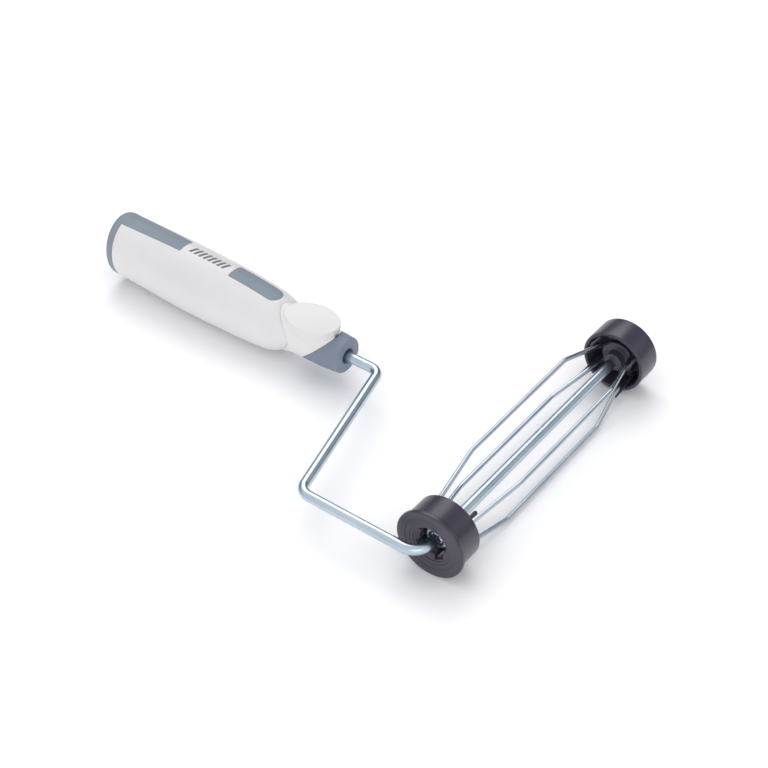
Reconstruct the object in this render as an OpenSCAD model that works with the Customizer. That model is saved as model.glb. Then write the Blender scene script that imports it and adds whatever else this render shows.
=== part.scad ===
// Paint roller frame: a spring-wire cage that spins on the end of a bent steel rod, and a
// two-colour moulded handle with a pole socket in its butt.
//
// The model is designed in the axle frame: the cage turns about the Y axis, the near cap's
// flange face is at y = 0, the handle points towards -X and the rod lies in the plane z = 0.
// place() then moves everything so that the origin is the centre of the bounding box's base.

/* [Roller cage] */
// Length of the cage, from the flange face to the far cap's face
cage_len = 223.6; // [200:0.1:240]
// Radius of the barrels that fit inside a roller sleeve
barrel_r = 22; // [21.8:0.05:22.15]
// Radius of the near cap's flange, which stops the sleeve
flange_r = 23.8; // [23.4:0.1:24.5]
// Thickness of the flange
flange_t = 3; // [2.5:0.1:3.5]
// Length of the near barrel, flange included
near_cap_len = 20.7; // [19:0.1:23]
// Length of the far barrel
far_cap_len = 19.3; // [18.5:0.1:22]
// Wall thickness of the barrels
cap_wall = 2.4; // [2:0.1:2.8]
// Thickness of the web that closes each cap
web_t = 4.2; // [3.8:0.1:4.6]

/* [Cage wires] */
// Radius of the spring wire
wire_r = 1.5; // [1.1:0.05:1.6]
// Distance from the axle to the straight middle stretch of a wire
bow_r = 25.2; // [24:0.1:26]
// Where the middle stretch starts, from the flange face
bow_start = 62.6; // [55:0.1:70]
// Where the middle stretch ends, from the flange face
bow_end = 166.3; // [160:0.1:175]
// Angle of the first wire above the +X direction
wire_angle = 33.2; // [30:0.1:36]

/* [Steel rod] */
// Diameter of the rod
rod_d = 7; // [6.8:0.1:7.2]
// Offset of the crank arm from the flange face
crank_gap = 10; // [9:0.5:12]
// Distance from the axle to the outer corner of the crank
crank_reach = 88.5; // [80:0.5:95]
// Distance from the axle to the inner corner, where the rod turns into the handle
shank_reach = 116; // [110:0.5:122]
// Handle axis, measured along the axle from the flange face
handle_y = 106.5; // [95:0.5:115]
// Centre-line radius of the bend at the axle
axle_bend_r = 12; // [10:0.5:14]
// Centre-line radius of the bend at the crank's outer corner
crank_bend_r = 9; // [7:0.5:11]
// Centre-line radius of the bend in front of the handle
shank_bend_r = 8; // [7:0.5:10]

/* [Handle] */
// Distance from the axle to the nose of the handle
nose_x = 141.5; // [139:0.5:146]
// Length of the handle
handle_len = 197.5; // [190:0.5:205]
// Thickness of the white shell
shell_t = 3; // [2.5:0.1:3.5]
// Depth of the soft grip inlays
inlay_t = 1.6; // [1.2:0.1:1.8]
// Half width of the grey stripe on top of the handle
stripe_half = 6.8; // [5:0.1:8]
// Length of the thumb rest's oval
thumb_len = 41.6; // [38:0.1:48]
// Width of the thumb rest's oval
thumb_width = 28.6; // [24:0.1:30]
// Height of the thumb rest above the rod's axis
thumb_z = 18.2; // [15:0.1:20]
// Radius of the opening in the nose
nose_hole_r = 5.4; // [4.6:0.1:6]

/* [Pole socket] */
// Radius of the threaded socket's bore, for a three-quarter inch pole
socket_r = 9.6; // [9.4:0.05:9.8]
// Depth of the socket
socket_len = 32; // [26:1:40]

/* [Bearings] */
// Radial running clearance between the bushes and the rod
run_gap = 0.06; // [0.02:0.01:0.1]
// Axial play between the turning and the fixed pieces
axial_gap = 0.35; // [0.3:0.05:0.5]

/* [Hidden] */
$fn = 64;

rod_r = rod_d / 2;
wire_count = 4;
lip_r = 0.9;
eps = 0.01;

// Cap hub, measured from the cap's outer face inwards
outer_step_r = 17.9;
inner_step_r = 14.6;
dish_r = 12.4;
step_depth = 0.4;
dish_depth = 3.6;
recess_r = 9;
recess_depth = 11;
hub_floor = 13.5;
hub_boss_r = 11.4;
window_outer_r = 11.3;
window_width = 7;
hub_tube_r = 6.2;
bush_r = 4.6;
bush_flange_r = 6.4;
bush_flange_t = 1;
washer_t = 1;
washer_r = 7;
nut_t = 0.8;
nut_r = 8.2;
nut_teeth = 6;

// Fingers that back up the wires
finger_r = 1.55;
near_finger_at = 11.9;
near_finger_len = 28;
// The first finger reaches further into the cage than the others
long_finger = 6;
far_finger_at = 17.6;
far_finger_tip_at = 19.9;
far_finger_len = 31;
post_r = 2.7;
post_len = 10;
wire_end_near = [13.6, 6.5];
wire_end_far = [10.85, 8.6];
wire_bend_r = 14;
wire_slot = 0.05;

// Bars: how far a straight runs into a bend, and how much thicker the bend is
lap = 0.3;
bend_skin = 0.015;

// Ends of the rod
rod_end_inset = 2.2;
tang_x = -214;
tang_len = 14;
tang_half = 5.4;
tang_t = 2.4;

// Handle, along -X from the nose
butt_x = -(nose_x + handle_len);
ring_x = butt_x + 7;
nose_round = 1.6;
butt_round = 3;
// Key sections of the handle: distance from the nose, half width, half height, centre height
form = [
    [0, 12.5, 12.5, 0],
    [14, 13.3, 13.6, -0.3],
    [29, 13.4, 13.8, -0.4],
    [40, 13.8, 14, -0.1],
    [47, 15.4, 16, 0],
    [54, 17.8, 19.2, 0.1],
    [61, 19.3, 21, 0.3],
    [72, 20.2, 22.3, 0.8],
    [93, 21.1, 23.6, 1.5],
    [127, 21.5, 24.3, 2.1],
    [149, 21.1, 24.4, 2.9],
    [174, 20.1, 24.1, 3.7],
    [198, 19, 24.1, 4.2]
];
loft_sides = 36;
loft_steps = 26;
core_r = 11;
core_rear_r = 14.4;
core_rear_len = 42;
socket_wall = 2.4;
socket_flange_r = 13;
rib_t = 2.4;
fit_gap = 0.03;
front_stripe_rear = -238;
front_stripe_tip = -198;
rear_stripe_front = -280;
thumb_x = -170.3;
// The thumb rest's face rises towards the nose
thumb_tilt = 2.4;
stripe_y = handle_y + 1.7;
// How much wider the rear stripe is at the butt, on each side
stripe_flare = 1.8;
crease_half_len = 24.5;
crease_half_width = 16;
// The nose collar's slanted joint crosses the rod's axis here
collar_joint_x = -162.8;
collar_joint_lean = 45;
nose_hole_len = 9.5;

box_min_x = butt_x;
box_max_x = flange_r;
box_min_y = -crank_gap - rod_r;
box_max_y = cage_len;
box_min_z = -flange_r;

module place() {
    translate([-(box_min_x + box_max_x) / 2, -(box_min_y + box_max_y) / 2, -box_min_z])
        children();
}

// Children's +Z becomes the direction from a cap's outer face into the cage
module in_near_cap() {
    rotate([-90, 0, 0]) children();
}

module in_far_cap() {
    translate([0, cage_len, 0]) rotate([90, 0, 0]) children();
}

module along_handle(x) {
    translate([x, handle_y, 0]) rotate([0, -90, 0]) children();
}

// Round bar through the points, with its corners rounded to the given centre-line radii
function unit(v) = v / norm(v);
function heading(p, i) = unit(p[i + 1] - p[i]);
function turn(p, i) = acos(heading(p, i - 1) * heading(p, i));
function side(u, v) = sign(u[0] * v[1] - u[1] * v[0]);
function trim(p, radii, i) = radii[i - 1] * tan(turn(p, i) / 2);

module bent_bar(p, radii, r) {
    for (i = [0:len(p) - 2]) {
        u = heading(p, i);
        from = i == 0 ? 0 : trim(p, radii, i) - lap;
        to = norm(p[i + 1] - p[i]) - (i == len(p) - 2 ? 0 : trim(p, radii, i + 1) - lap);
        start = p[i] + u * from;
        translate([start[0], start[1], 0])
            rotate([0, 0, atan2(u[1], u[0])])
                rotate([0, 90, 0])
                    cylinder(r = r, h = to - from);
    }
    for (i = [1:len(p) - 2]) {
        u = heading(p, i - 1);
        s = side(u, heading(p, i));
        n = [-u[1], u[0]] * s;
        centre = p[i] - u * trim(p, radii, i) + n * radii[i - 1];
        first = atan2(-n[1], -n[0]);
        translate([centre[0], centre[1], 0])
            rotate([0, 0, s > 0 ? first : first - turn(p, i)])
                rotate_extrude(angle = turn(p, i))
                    translate([radii[i - 1], 0])
                        circle(r = r + bend_skin);
    }
}

module rod() {
    path = [
        [0, cage_len - rod_end_inset],
        [0, -crank_gap],
        [-crank_reach, -crank_gap],
        [-shank_reach, handle_y],
        [tang_x, handle_y]
    ];
    color("#c9d3d8") {
        bent_bar(path, [axle_bend_r, crank_bend_r, shank_bend_r], rod_r);
        translate([tang_x, handle_y - tang_half, -tang_t / 2])
            cube([tang_len, 2 * tang_half, tang_t]);
    }
}

// Smooth value between the handle's key sections
function slope(i, k) =
    i == 0 ? (form[1][k] - form[0][k]) / (form[1][0] - form[0][0]) :
    i == len(form) - 1 ? (form[i][k] - form[i - 1][k]) / (form[i][0] - form[i - 1][0]) :
    (form[i + 1][k] - form[i - 1][k]) / (form[i + 1][0] - form[i - 1][0]);
function span(s, i = 0) = i >= len(form) - 2 || s < form[i + 1][0] ? i : span(s, i + 1);
function blend(s, k) =
    let (i = span(s), w = form[i + 1][0] - form[i][0], t = (s - form[i][0]) / w)
    form[i][k] * (2 * t * t * t - 3 * t * t + 1)
    + form[i + 1][k] * (3 * t * t - 2 * t * t * t)
    + slope(i, k) * w * (t * t * t - 2 * t * t + t)
    + slope(i + 1, k) * w * (t * t * t - t * t);

// How far the rounded ends pull the outline in
function end_inset(d, r) = d >= r ? 0 : r - sqrt(r * r - (r - d) * (r - d));
function inset(s) = end_inset(s, nose_round) + end_inset(handle_len - s, butt_round);

function nose_steps() = [for (a = [0:30:60]) nose_round * (1 - cos(a))];
function butt_steps() = [for (a = [60:-30:0]) handle_len - butt_round * (1 - cos(a))];
function body_steps() =
    [for (i = [0:loft_steps])
        nose_round + (handle_len - nose_round - butt_round) * i / loft_steps];

// Solid with the handle's outer form, pulled in by off
module handle_form(off) {
    stations = concat(nose_steps(), body_steps(), butt_steps());
    n = loft_sides;
    points = [
        for (s = stations)
            let (ry = blend(s, 1) - inset(s) - off, rz = blend(s, 2) - inset(s) - off)
            for (j = [0:n - 1])
                [-nose_x - s, handle_y + ry * cos(360 * j / n),
                    blend(s, 3) + rz * sin(360 * j / n)]
    ];
    last = len(stations) - 1;
    sides = [
        for (i = [0:last - 1], j = [0:n - 1])
            let (a = i * n + j, b = i * n + (j + 1) % n)
            each [[a, b, b + n], [a, b + n, a + n]]
    ];
    polyhedron(
        points = points,
        faces = concat(
            [[for (j = [n - 1:-1:0]) j]],
            sides,
            [[for (j = [0:n - 1]) last * n + j]]));
}

module core_space(gap) {
    along_handle(-nose_x - nose_hole_len + eps)
        cylinder(r = core_r + gap, h = handle_len - nose_hole_len - 1);
    along_handle(butt_x + core_rear_len)
        cylinder(r = core_rear_r + gap, h = core_rear_len + 1);
}

module thumb_outline(half_len, half_width, low, high) {
    translate([thumb_x, handle_y, low])
        linear_extrude(height = high - low)
            polygon([for (a = [0:10:350]) [half_len * cos(a), half_width * sin(a)]]);
}

// Slice of the thumb rest's tilted plate, its outline pulled in
module thumb_plate(pull, low, high) {
    translate([thumb_x, handle_y, thumb_z])
        rotate([0, -thumb_tilt, 0])
            translate([-thumb_x, -handle_y, 0])
                thumb_outline(thumb_len / 2 - pull, thumb_width / 2 - pull, low, high);
}

// Everything in front of the nose collar's slanted joint
module ahead_of_joint() {
    translate([collar_joint_x, handle_y - 40, 0])
        rotate([0, collar_joint_lean, 0])
            translate([0, 0, -60])
                cube([120, 80, 120]);
}

module stripe_rear() {
    linear_extrude(height = 40)
        polygon([
            [rear_stripe_front, stripe_y - stripe_half],
            [rear_stripe_front, stripe_y + stripe_half],
            [butt_x - 1, stripe_y + stripe_half + stripe_flare],
            [butt_x - 1, stripe_y - stripe_half - stripe_flare]
        ]);
}

module stripe_front() {
    translate([front_stripe_rear, stripe_y - stripe_half, 0])
        cube([front_stripe_tip - stripe_half - front_stripe_rear, 2 * stripe_half, 40]);
    translate([front_stripe_tip - stripe_half, stripe_y, 0])
        cylinder(r = stripe_half, h = 40);
}

module behind(x) {
    translate([x - 80, handle_y - 40, -40])
        cube([80, 80, 80]);
}

module handle_core() {
    color("#d9dbdc")
        difference() {
            union() {
                along_handle(-nose_x - nose_hole_len)
                    cylinder(r = core_r, h = handle_len - nose_hole_len - core_rear_len + 1);
                along_handle(butt_x + core_rear_len)
                    cylinder(r = core_rear_r, h = core_rear_len);
                intersection() {
                    handle_form(shell_t + 0.4);
                    for (a = [0, 90])
                        translate([(butt_x + core_rear_len + tang_x) / 2, handle_y, 1])
                            rotate([a, 0, 0])
                                cube([78, 60, rib_t], center = true);
                }
            }
            along_handle(-nose_x)
                cylinder(r = rod_r + fit_gap, h = -nose_x - tang_x + fit_gap);
            translate([tang_x - fit_gap, handle_y - tang_half - fit_gap, -tang_t / 2 - fit_gap])
                cube([tang_len + 2 * fit_gap, 2 * (tang_half + fit_gap), tang_t + 2 * fit_gap]);
            along_handle(butt_x + socket_len + 3)
                cylinder(r = socket_r + socket_wall + fit_gap, h = socket_len + 4);
            along_handle(butt_x + 3)
                cylinder(r = socket_flange_r + fit_gap, h = 4);
        }
}

module handle_shell() {
    color("#eceeee")
        difference() {
            handle_form(0);
            core_space(fit_gap);
            behind(ring_x);
            ahead_of_joint();
            thumb_outline(crease_half_len, crease_half_width, -30, 40);
            intersection() {
                handle_form(shell_t);
                translate([ring_x + 8, handle_y - 40, -40])
                    cube([-180 - ring_x - 8, 80, 80]);
            }
            intersection() {
                union() {
                    stripe_rear();
                    stripe_front();
                }
                difference() {
                    translate([butt_x - 1, handle_y - 30, -30])
                        cube([200, 60, 60]);
                    handle_form(inlay_t);
                }
            }
        }
}

module thumb_rest() {
    color("#f2f1ee")
        difference() {
            union() {
                intersection() {
                    handle_form(0);
                    thumb_outline(crease_half_len - 0.15, crease_half_width - 0.15, -30, 40);
                }
                hull() {
                    thumb_plate(0, -1.2, -0.2);
                    thumb_plate(1, -0.2, 0.6);
                    thumb_outline(thumb_len / 2 - 7, thumb_width / 2 - 2, 5, 6);
                }
            }
            translate([-0.1, 0, 0]) ahead_of_joint();
            core_space(fit_gap);
        }
}

module grip_front() {
    color("#8e9ba8")
        intersection() {
            stripe_front();
            difference() {
                handle_form(0);
                handle_form(inlay_t);
            }
        }
}

module grip_rear() {
    color("#8e9ba8") {
        difference() {
            intersection() {
                handle_form(0);
                behind(ring_x);
            }
            core_space(fit_gap);
        }
        intersection() {
            stripe_rear();
            difference() {
                handle_form(0);
                handle_form(inlay_t);
                behind(ring_x - eps);
            }
        }
    }
}

module nose_collar() {
    color("#7c8794")
        difference() {
            intersection() {
                handle_form(0);
                ahead_of_joint();
            }
            core_space(fit_gap);
            along_handle(-nose_x + 1)
                cylinder(r = nose_hole_r, h = nose_hole_len + 2);
        }
}

module pole_socket() {
    color("#a9adb0")
        along_handle(butt_x + socket_len + 3)
            difference() {
                union() {
                    cylinder(r = socket_r + socket_wall, h = socket_len + 3);
                    translate([0, 0, socket_len])
                        cylinder(r = socket_flange_r, h = 3);
                }
                translate([0, 0, 3])
                    cylinder(r = socket_r, h = socket_len + 1);
            }
}

// Section of a cap, from its axis outwards; z runs from the outer face into the cage
function quarter(c, r, a) = [for (t = [0:30:90]) c + r * [cos(a + t), sin(a + t)]];

module cap_section(rim_r, rim_t, length) {
    inner_r = barrel_r - cap_wall;
    polygon(concat(
        [[bush_r + fit_gap, recess_depth], [recess_r, recess_depth], [recess_r, dish_depth],
            [dish_r, 3 * step_depth], [dish_r, 2 * step_depth],
            [inner_step_r, 2 * step_depth], [inner_step_r, step_depth],
            [outer_step_r, step_depth], [outer_step_r, 0]],
        quarter([rim_r - lip_r, lip_r], lip_r, -90),
        rim_r > barrel_r ?
            concat(quarter([rim_r - lip_r, rim_t - lip_r], lip_r, 0), [[barrel_r, rim_t]]) :
            [],
        quarter([barrel_r - lip_r, length - lip_r], lip_r, 0),
        quarter([inner_r + lip_r, length - lip_r], lip_r, 90),
        [[inner_r, web_t], [hub_boss_r, web_t], [hub_boss_r, hub_floor],
            [hub_tube_r, hub_floor], [hub_tube_r, length], [bush_r + fit_gap, length]]));
}

// One window in line with each wire, cut through the recess wall
module windows(angles) {
    for (a = angles)
        rotate([0, 0, a])
            translate([recess_r - 1, -window_width / 2, -1])
                cube([window_outer_r - recess_r + 1, window_width, recess_depth]);
}

module cap_body(rim_r, rim_t, length, angles) {
    difference() {
        rotate_extrude() cap_section(rim_r, rim_t, length);
        windows(angles);
    }
}

module wire_posts(angles, reach) {
    for (a = angles)
        rotate([0, 0, a])
            translate([reach, 0, web_t - 1])
                cylinder(r = post_r, h = post_len - web_t + 1);
}

module near_fingers(angles) {
    for (i = [0:len(angles) - 1])
        let (h = near_finger_len + (i == 0 ? long_finger : 0) - finger_r - web_t + 1)
            rotate([0, 0, angles[i]])
                translate([near_finger_at, 0, web_t - 1]) {
                    cylinder(r = finger_r, h = h);
                    translate([0, 0, h])
                        sphere(r = finger_r);
                }
}

module far_fingers(angles) {
    lean = atan2(far_finger_tip_at - far_finger_at, far_finger_len - web_t);
    for (a = angles)
        rotate([0, 0, a])
            translate([far_finger_at, 0, web_t - 1])
                rotate([0, lean, 0])
                    cylinder(r1 = finger_r + 0.1, r2 = 0.6, h = far_finger_len - web_t + 1);
}

function wire_angles() = [for (i = [0:wire_count - 1]) wire_angle + 360 * i / wire_count];

module bowed_wire(i, grow) {
    rotate([0, -wire_angles()[i], 0])
        bent_bar(
            [
                wire_end_near,
                [bow_r, bow_start],
                [bow_r, bow_end],
                [wire_end_far[0], cage_len - wire_end_far[1]]
            ],
            [wire_bend_r, wire_bend_r],
            wire_r + grow);
}

module near_cap() {
    angles = -wire_angles();
    color("#2b2c31")
        difference() {
            in_near_cap() {
                cap_body(flange_r, flange_t, near_cap_len, angles);
                wire_posts(angles, wire_end_near[0]);
                near_fingers(angles);
            }
            for (i = [0:wire_count - 1]) bowed_wire(i, wire_slot);
        }
}

module far_cap() {
    angles = wire_angles();
    color("#2b2c31")
        difference() {
            in_far_cap() {
                cap_body(barrel_r, 0, far_cap_len, []);
                wire_posts(angles, wire_end_far[0] + 1);
                far_fingers(angles);
            }
            for (i = [0:wire_count - 1]) bowed_wire(i, wire_slot);
        }
}

// Flanged bearing sleeve, seated in the hub from the recess side
module bush(length) {
    difference() {
        union() {
            translate([0, 0, recess_depth - bush_flange_t])
                cylinder(r = bush_flange_r, h = bush_flange_t);
            translate([0, 0, recess_depth - bush_flange_t])
                cylinder(r = bush_r, h = length - recess_depth + bush_flange_t);
        }
        translate([0, 0, -1])
            cylinder(r = rod_r + run_gap, h = length + 2);
    }
}

module washer() {
    translate([0, 0, recess_depth - bush_flange_t - axial_gap - washer_t])
        difference() {
            cylinder(r = washer_r, h = washer_t);
            translate([0, 0, -1])
                cylinder(r = rod_r + fit_gap, h = washer_t + 2);
        }
}

// Toothed push-on fastener that grips the rod
module push_nut() {
    translate([0, 0, recess_depth - bush_flange_t - axial_gap - washer_t - nut_t - 0.05])
        difference() {
            union() {
                cylinder(r = nut_r, h = nut_t);
                translate([0, 0, -nut_t])
                    cylinder(r1 = rod_r + 1, r2 = rod_r + 2, h = nut_t);
            }
            translate([0, 0, -nut_t - 1])
                cylinder(r = rod_r + fit_gap, h = 2 * nut_t + 2);
            for (i = [0:nut_teeth - 1])
                rotate([0, 0, 360 * i / nut_teeth])
                    translate([rod_r - 0.5, -0.4, -nut_t - 1])
                        cube([2, 0.8, 2 * nut_t + 2]);
        }
}

module near_bush() {
    color("#3a3b40") in_near_cap() bush(near_cap_len);
}

module far_bush() {
    color("#3a3b40") in_far_cap() bush(far_cap_len);
}

module near_washer() {
    color("#c5c9cc") in_near_cap() washer();
}

module far_washer() {
    color("#c5c9cc") in_far_cap() washer();
}

module near_push_nut() {
    color("#d7dbde") in_near_cap() push_nut();
}

module far_push_nut() {
    color("#d7dbde") in_far_cap() push_nut();
}

module wire(i) {
    color("#cfd8dc") bowed_wire(i, 0);
}

place() rod();
place() handle_core();
place() handle_shell();
place() thumb_rest();
place() grip_front();
place() grip_rear();
place() nose_collar();
place() pole_socket();
place() near_washer();
place() near_push_nut();
place() far_washer();
place() far_push_nut();
place() near_cap();
place() far_cap();
place() near_bush();
place() far_bush();
place() wire(0);  // wire_1
place() wire(1);  // wire_2
place() wire(2);  // wire_3
place() wire(3);  // wire_4
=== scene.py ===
"""Looks for the paint roller frame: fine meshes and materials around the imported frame.

Lengths in this file are in millimetres until the MM factor turns them into metres. Shapes are
described in the axle frame: the cage turns about Y, y = 0 is the near cap's flange face, the
handle points towards -X and the rod lies in the plane z = 0.
"""

import functools
import math

import bmesh
import bpy
import numpy as np
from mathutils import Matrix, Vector


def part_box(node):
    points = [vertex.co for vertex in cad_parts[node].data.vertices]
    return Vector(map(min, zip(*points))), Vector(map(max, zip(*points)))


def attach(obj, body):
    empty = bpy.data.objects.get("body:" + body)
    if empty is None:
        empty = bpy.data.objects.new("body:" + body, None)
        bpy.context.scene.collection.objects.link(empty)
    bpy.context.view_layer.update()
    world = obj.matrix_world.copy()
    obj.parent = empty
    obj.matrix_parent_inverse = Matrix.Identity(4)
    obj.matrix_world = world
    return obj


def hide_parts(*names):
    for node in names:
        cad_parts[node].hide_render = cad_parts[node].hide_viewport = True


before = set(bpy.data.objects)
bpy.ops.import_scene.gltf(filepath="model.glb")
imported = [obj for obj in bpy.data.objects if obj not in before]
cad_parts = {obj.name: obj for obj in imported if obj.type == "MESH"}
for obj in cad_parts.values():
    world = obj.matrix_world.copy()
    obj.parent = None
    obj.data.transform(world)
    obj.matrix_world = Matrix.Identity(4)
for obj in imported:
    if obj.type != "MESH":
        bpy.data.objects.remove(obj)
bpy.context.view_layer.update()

MM = 0.001
FLANGE_LOW, FLANGE_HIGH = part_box("near_cap")
AXLE = Vector(((FLANGE_LOW.x + FLANGE_HIGH.x) / 2, FLANGE_LOW.y, (FLANGE_LOW.z + FLANGE_HIGH.z) / 2))

# Driving sizes, the same as the frame's
FLANGE_R = (FLANGE_HIGH.x - FLANGE_LOW.x) / 2 / MM
BARREL_R = (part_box("far_cap")[1].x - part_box("far_cap")[0].x) / 2 / MM
CAGE_LEN = (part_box("far_cap")[1].y - AXLE.y) / MM
NEAR_LEN = 20.7
FAR_LEN = 19.3
FLANGE_T = 3.0
CAP_WALL = 2.4
WEB_T = 4.2
HUB_BORE_R = 4.63
HUB_R = 11.4
HUB_TOP = 13.5
TUBE_R = 6.2
RECESS_FLOOR = 11.0
WINDOW_OUTER_R = 11.3
WINDOW_HALF = 3.5
NEAR_POST_R = 13.6
FAR_POST_R = 11.85
LONG_FINGER = 6.0
ROD_R = 3.5
CRANK_GAP = 10
CRANK_REACH = 88.5
SHANK_START = 116
WIRE_R = 1.5
BOW_R = 25.2
WIRE_ANGLES = [33.2 + 90 * i for i in range(4)]
HANDLE_Y = 106.5
NOSE_X = -141.5
HANDLE_LEN = 197.5
RING_S = HANDLE_LEN - 7.0
CORE_R = 11.05
CORE_REAR_R = 14.45
SEAM = 0.12


# ---------------------------------------------------------------- mesh helpers

def make_object(name, verts, faces, smooth_angle=35.0):
    """A mesh object from points in the axle frame, in millimetres."""
    mesh = bpy.data.meshes.new(name)
    mesh.from_pydata([tuple(AXLE + Vector(v) * MM) for v in verts], [], faces)
    mesh.validate()
    obj = bpy.data.objects.new(name, mesh)
    bpy.context.scene.collection.objects.link(obj)
    finish_mesh(obj, smooth_angle)
    return obj


def finish_mesh(obj, smooth_angle=35.0):
    """Faces point outwards, shade smooth, and edges sharper than the angle stay crisp."""
    bm = bmesh.new()
    bm.from_mesh(obj.data)
    bmesh.ops.remove_doubles(bm, verts=bm.verts, dist=1e-7)
    bmesh.ops.recalc_face_normals(bm, faces=bm.faces)
    bm.to_mesh(obj.data)
    bm.free()
    obj.data.polygons.foreach_set("use_smooth", [True] * len(obj.data.polygons))
    obj.data.set_sharp_from_angle(angle=math.radians(smooth_angle))
    obj.data.update()


def ring_grid(rows, closed_rows=False):
    """Faces of a grid whose rows are closed rings; closed_rows joins the last row to the first."""
    verts = [p for row in rows for p in row]
    n, count = len(rows[0]), len(rows)
    faces = []
    for i in range(count if closed_rows else count - 1):
        k = (i + 1) % count
        for j in range(n):
            m = (j + 1) % n
            faces.append((i * n + j, i * n + m, k * n + m, k * n + j))
    if not closed_rows:
        faces.append(tuple(range(n - 1, -1, -1)))
        faces.append(tuple(range((count - 1) * n, count * n)))
    return verts, faces


def arc(centre, r, start, end, steps):
    """Points of an arc in a section plane, angles in degrees."""
    return [(centre[0] + r * math.cos(math.radians(start + (end - start) * i / steps)),
             centre[1] + r * math.sin(math.radians(start + (end - start) * i / steps)))
            for i in range(steps + 1)]


def lathe(name, profile, place, sides=160, smooth_angle=35.0):
    """Turns a (radius, depth) outline about the axle; place() maps (x, z, depth) to a point."""
    rows = [[place(r * math.cos(2 * math.pi * j / sides), r * math.sin(2 * math.pi * j / sides), d)
             for j in range(sides)] for r, d in profile]
    return make_object(name, *ring_grid(rows, closed_rows=True), smooth_angle=smooth_angle)


def near_place(x, z, depth):
    return (x, depth, z)


def far_place(x, z, depth):
    return (x, CAGE_LEN - depth, z)


def boolean(obj, other, operation, solver="MANIFOLD"):
    """Cuts other from obj, or joins it on, and removes other."""
    mod = obj.modifiers.new(operation.lower(), "BOOLEAN")
    mod.operation = operation
    mod.object = other
    mod.solver = solver
    bpy.context.view_layer.update()
    graph = bpy.context.evaluated_depsgraph_get()
    mesh = bpy.data.meshes.new_from_object(obj.evaluated_get(graph))
    obj.modifiers.clear()
    old = obj.data
    obj.data = mesh
    mesh.name = obj.name
    bpy.data.meshes.remove(old)
    bpy.data.objects.remove(other)


def rounded_path(points, radii, step_deg=3.0):
    """Polyline with its corners turned into arcs of the given radii."""
    pts = [np.array(p, float) for p in points]
    path = [pts[0]]
    for i, radius in enumerate(radii, start=1):
        u = (pts[i] - pts[i - 1]) / np.linalg.norm(pts[i] - pts[i - 1])
        v = (pts[i + 1] - pts[i]) / np.linalg.norm(pts[i + 1] - pts[i])
        turn = math.acos(float(np.clip(u @ v, -1, 1)))
        back = radius * math.tan(turn / 2)
        normal = v - u * (u @ v)
        normal /= np.linalg.norm(normal)
        centre = pts[i] - u * back + normal * radius
        steps = max(4, int(math.degrees(turn) / step_deg))
        for k in range(steps + 1):
            a = turn * k / steps
            path.append(centre - normal * radius * math.cos(a) + u * radius * math.sin(a))
    path.append(pts[-1])
    return path


def bar(name, points, radii, r, sides=40, chamfer=0.5, spacing=4.0):
    """Round bar along a rounded path, ends chamfered; UVs run along and round it, in metres."""
    corners = rounded_path(points, radii)
    path = [corners[0]]
    for a, b in zip(corners, corners[1:]):
        n = max(1, int(np.linalg.norm(b - a) / spacing))
        path += [a + (b - a) * k / n for k in range(1, n + 1)]
    path = [p for i, p in enumerate(path) if i == 0 or np.linalg.norm(p - path[i - 1]) > 1e-6]
    path = np.array(path)
    tangents = np.gradient(path, axis=0)
    tangents /= np.linalg.norm(tangents, axis=1)[:, None]
    side = np.cross(tangents[0], (0.31, 0.17, 0.93))
    side /= np.linalg.norm(side)
    rings = []
    run = 0.0
    for i, (p, t) in enumerate(zip(path, tangents)):
        side = side - t * (side @ t)
        side /= np.linalg.norm(side)
        up = np.cross(t, side)
        if i:
            run += float(np.linalg.norm(p - path[i - 1]))
        if i == 0:
            rings.append((p, side, up, r - chamfer, run))
            rings.append((p + t * chamfer, side, up, r, run))
        elif i == len(path) - 1:
            rings.append((p - t * chamfer, side, up, r, run))
            rings.append((p, side, up, r - chamfer, run))
        elif run > chamfer * 2:
            rings.append((p, side, up, r, run))
    rows = [[tuple(p + q * (s * math.cos(2 * math.pi * j / sides) + w * math.sin(2 * math.pi * j / sides)))
             for j in range(sides)] for p, s, w, q, _ in rings]
    verts, faces = ring_grid(rows)
    mesh = bpy.data.meshes.new(name)
    mesh.from_pydata([tuple(AXLE + Vector(v) * MM) for v in verts], [], faces)
    layer = mesh.uv_layers.new(name="along")
    girth = 2 * math.pi * r * MM
    for face in mesh.polygons:
        loops = list(face.loop_indices)
        cols = [mesh.loops[k].vertex_index % sides for k in loops]
        wraps = max(cols) - min(cols) > 1 and len(loops) == 4
        for k, col in zip(loops, cols):
            row = mesh.loops[k].vertex_index // sides
            turn = (sides if wraps and col == 0 else col) / sides
            layer.data[k].uv = (rings[row][4] * MM, turn * girth)
    obj = bpy.data.objects.new(name, mesh)
    bpy.context.scene.collection.objects.link(obj)
    mesh.polygons.foreach_set("use_smooth", [True] * len(mesh.polygons))
    mesh.set_sharp_from_angle(angle=math.radians(30))
    return obj


# ---------------------------------------------------------------- materials

def new_material(name):
    mat = bpy.data.materials.new(name)
    mat.use_nodes = True
    nodes, links = mat.node_tree.nodes, mat.node_tree.links
    return mat, nodes, links, nodes["Principled BSDF"]


def noise(nodes, links, vector, scale, detail=3.0, roughness=0.5):
    n = nodes.new("ShaderNodeTexNoise")
    n.inputs["Scale"].default_value = scale
    n.inputs["Detail"].default_value = detail
    n.inputs["Roughness"].default_value = roughness
    links.new(vector, n.inputs["Vector"])
    return n


def ramp(nodes, links, value, low, high, first, last):
    """Colour ramp between two colours as value goes from low to high."""
    r = nodes.new("ShaderNodeValToRGB")
    r.color_ramp.elements[0].position = low
    r.color_ramp.elements[0].color = (*first, 1)
    r.color_ramp.elements[1].position = high
    r.color_ramp.elements[1].color = (*last, 1)
    links.new(value, r.inputs["Fac"])
    return r


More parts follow.
